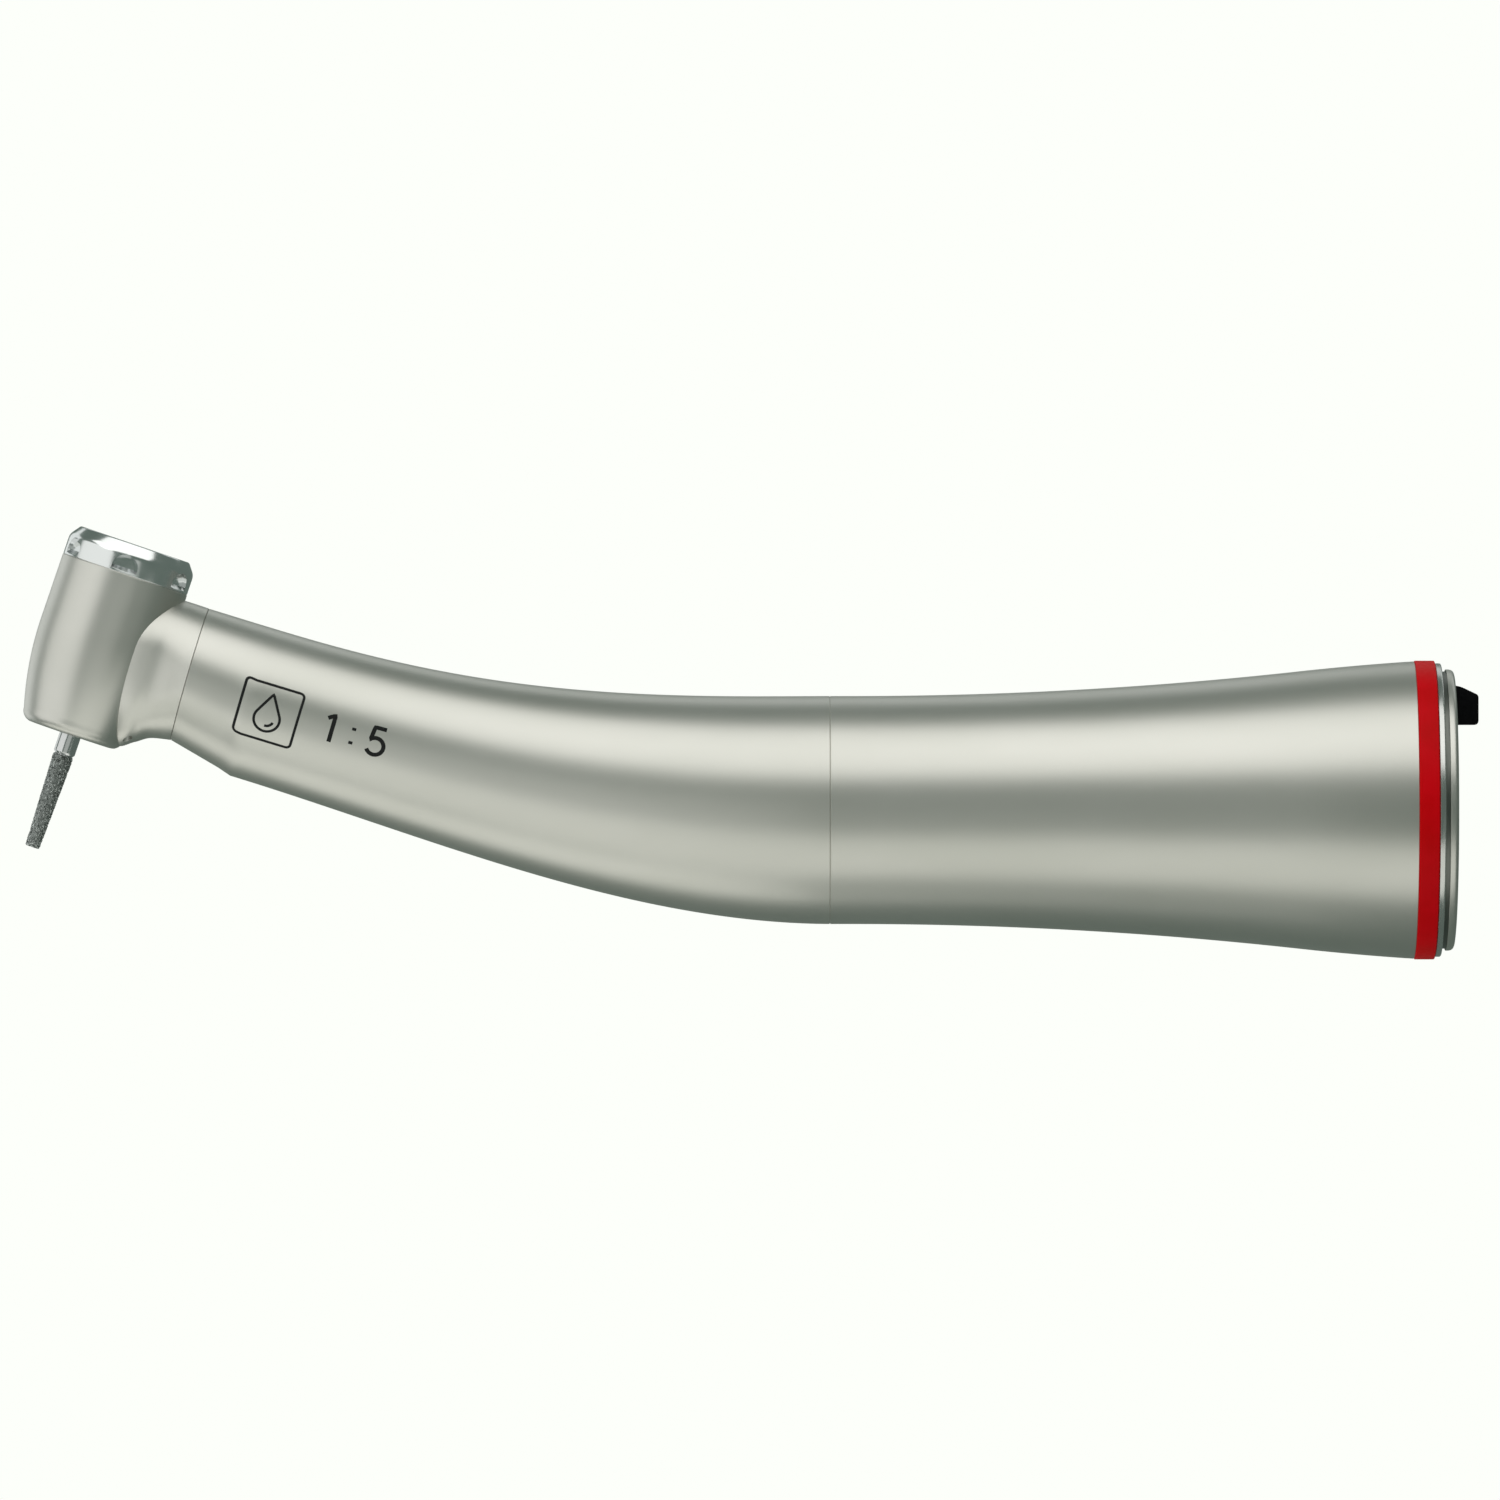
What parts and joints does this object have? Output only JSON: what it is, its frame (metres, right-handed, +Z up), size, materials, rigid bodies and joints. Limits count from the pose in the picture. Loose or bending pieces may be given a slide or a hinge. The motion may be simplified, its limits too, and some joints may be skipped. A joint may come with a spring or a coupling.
{
  "type": "contra angle handpiece",
  "caption": "Slim bent dental handpiece: flared motor end with a red ring, tapering body, tilted small head with push-button chuck, and a diamond bur.",
  "frame": {"origin": "centre of the motor opening, in the plane of the rear face", "axes": "+X along the motor socket, out of the rear towards the motor; the head is at -X; +Z is up, the side that the head's push button faces; Y is square to the plane of symmetry of the outside"},
  "size_m": [0.1071, 0.022, 0.0319],
  "materials": {
    "titanium_coat": "satin, fine-blasted titanium with a thin scratch-resistant coat",
    "red_ring": "glossy red colour ring",
    "bright_metal": "turned stainless steel",
    "polished_cap": "polished",
    "key_plastic": "black, moulded",
    "brass": "turned",
    "seal_rubber": "matt",
    "spring_steel": "drawn spring steel",
    "guide_glass": "fused glass rod, polished ends",
    "tube_steel": "drawn stainless tube",
    "bearing_steel": "ground bearing steel",
    "ceramic_balls": "polished silicon nitride",
    "cage_polymer": "machined polymer",
    "gear_steel": "hardened and ground",
    "bur_steel": "ground and polished",
    "diamond_grit": "coarse diamond grit set in nickel"
  },
  "bodies": {
    "housing": {"rear_sleeve": "titanium_coat", "ratio_ring": "red_ring", "rear_rim": "bright_metal", "end_ring": "titanium_coat", "locating_key": "key_plastic", "coupling_socket": "bright_metal", "spray_manifold": "brass", "sleeve_o_ring": "seal_rubber", "shaft_carrier": "bright_metal", "carrier_nut": "brass", "front_shell": "titanium_coat", "bend_bulkhead": "bright_metal", "front_shaft_tube": "bright_metal", "head_housing": "titanium_coat", "front_bearing_nut": "brass", "head_cap": "polished_cap", "cap_o_ring": "seal_rubber", "preload_washer": "spring_steel", "button_spring": "spring_steel", "dust_seal": "seal_rubber", "light_guide": "guide_glass", "light_window": "guide_glass", "water_tube": "tube_steel", "air_tube": "tube_steel", "drive_bearing_outers": "bearing_steel", "drive_bearing_spacer": "brass", "front_bearing_outers": "bearing_steel", "head_bearing_outers": "bearing_steel"},
    "drive_shaft": {"drive_shaft": "gear_steel", "drive_dog": "gear_steel", "dog_pin": "spring_steel", "ring_gear": "gear_steel", "drive_bearing_inners": "bearing_steel", "drive_clip": "spring_steel"},
    "drive_balls": {"drive_bearing_balls": "ceramic_balls", "drive_bearing_cages": "cage_polymer"},
    "front_shaft": {"front_shaft": "gear_steel", "shaft_pinion": "gear_steel", "crown_gear": "gear_steel", "front_bearing_inners": "bearing_steel"},
    "front_balls": {"front_bearing_balls": "ceramic_balls", "front_bearing_cages": "cage_polymer"},
    "spindle": {"spindle": "gear_steel", "chuck_collet": "gear_steel", "chuck_spring": "spring_steel", "head_bearing_inners": "bearing_steel"},
    "head_balls": {"head_bearing_balls": "ceramic_balls", "head_bearing_cages": "cage_polymer"},
    "plunger": {"release_plunger": "gear_steel"},
    "button": {"push_button": "polished_cap"},
    "bur": {"bur_shank": "bur_steel", "bur_diamond_coat": "diamond_grit"}
  },
  "joints": [
    {"name": "drive_spin", "type": "hinge", "parent": "housing", "child": "drive_shaft", "pos_m": [-0.03, 0, 0], "axis": [1, 0, 0], "continuous": true},
    {"name": "drive_balls_spin", "type": "hinge", "parent": "housing", "child": "drive_balls", "pos_m": [-0.05, 0, 0], "axis": [1, 0, 0], "continuous": true},
    {"name": "front_shaft_spin", "type": "hinge", "parent": "housing", "child": "front_shaft", "pos_m": [-0.09954, 0, 0.01217], "axis": [0.9466, 0, -0.3223], "continuous": true},
    {"name": "front_balls_spin", "type": "hinge", "parent": "housing", "child": "front_balls", "pos_m": [-0.09954, 0, 0.01217], "axis": [0.9466, 0, -0.3223], "continuous": true},
    {"name": "spindle_spin", "type": "hinge", "parent": "housing", "child": "spindle", "pos_m": [-0.10116, 0, 0.00743], "axis": [0.3223, 0, 0.9466], "continuous": true},
    {"name": "head_balls_spin", "type": "hinge", "parent": "housing", "child": "head_balls", "pos_m": [-0.10116, 0, 0.00743], "axis": [0.3223, 0, 0.9466], "continuous": true},
    {"name": "button_press", "type": "slide", "parent": "housing", "child": "button", "axis": [-0.3223, 0, -0.9466], "range_m": [0, 0.0006], "stiffness_N_per_m": 3000, "springref_m": -0.0005, "deforming": ["button_spring"]},
    {"name": "plunger_push", "type": "slide", "parent": "spindle", "child": "plunger", "axis": [-0.3223, 0, -0.9466], "range_m": [0, 0.0003], "stiffness_N_per_m": 20, "springref_m": -0.0003, "deforming": ["chuck_spring"]},
    {"name": "bur_withdrawal", "type": "slide", "parent": "spindle", "child": "bur", "axis": [-0.3223, 0, -0.9466], "range_m": [0, 0.02]}
  ],
  "couplings": [
    {"joint": "front_shaft_spin", "follows": "drive_spin", "ratio": 3},
    {"joint": "spindle_spin", "follows": "drive_spin", "ratio": 5},
    {"joint": "drive_balls_spin", "follows": "drive_spin", "ratio": 0.3846},
    {"joint": "front_balls_spin", "follows": "drive_spin", "ratio": 1.1571},
    {"joint": "head_balls_spin", "follows": "drive_spin", "ratio": 1.9751},
    {"joint": "plunger_push", "follows": "button_press", "ratio": 0.5}
  ]
}
